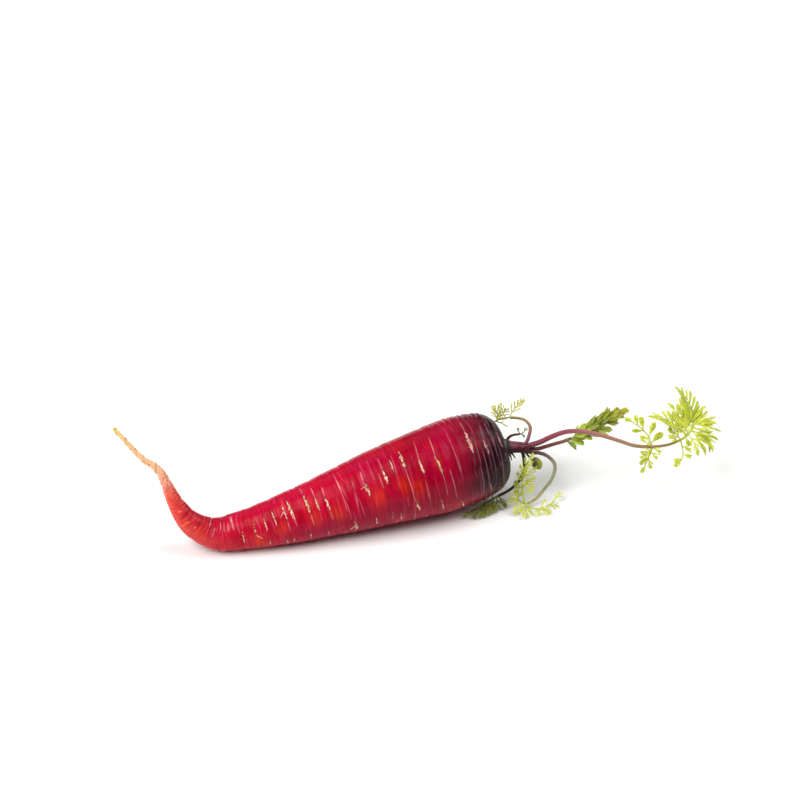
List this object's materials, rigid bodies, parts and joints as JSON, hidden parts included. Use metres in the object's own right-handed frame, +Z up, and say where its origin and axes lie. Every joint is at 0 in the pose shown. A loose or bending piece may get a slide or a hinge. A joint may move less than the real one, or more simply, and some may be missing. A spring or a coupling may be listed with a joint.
{
  "type": "carrot",
  "caption": "Fresh red-purple carrot lying on its side: tapering tap root with growth creases, lifted curved tail, short neck and young feathery leaves on thin stalks",
  "frame": {"origin": "on the surface the carrot lies on, in the middle of the root's small flat underside", "axes": "+X along the root from the tail towards the crown and leaves, +Z up from the surface, +Y behind it"},
  "size_m": [0.2765, 0.0775, 0.0572],
  "materials": {
    "root_flesh": "satin",
    "leaf_base": "satin",
    "purple_stalk": "satin",
    "tan_stalk": "satin",
    "dark_stalk": "satin",
    "pale_leaf": "matte",
    "green_leaf": "matte",
    "olive_leaf": "matte"
  },
  "bodies": {
    "root": {"root": "root_flesh", "leaf_bases": "leaf_base", "leaf_1_stalk": "purple_stalk", "leaf_2_stalk": "purple_stalk", "leaf_3_stalk": "purple_stalk", "leaf_4_stalk": "purple_stalk", "leaf_5_stalk": "tan_stalk", "leaf_6_stalk": "dark_stalk", "leaf_1_blade": "pale_leaf", "leaf_2_blade": "green_leaf", "leaf_3_blade": "pale_leaf", "leaf_4_blade": "olive_leaf", "leaf_5_blade": "pale_leaf", "leaf_6_blade": "olive_leaf", "young_leaf": "green_leaf"}
  },
  "joints": []
}
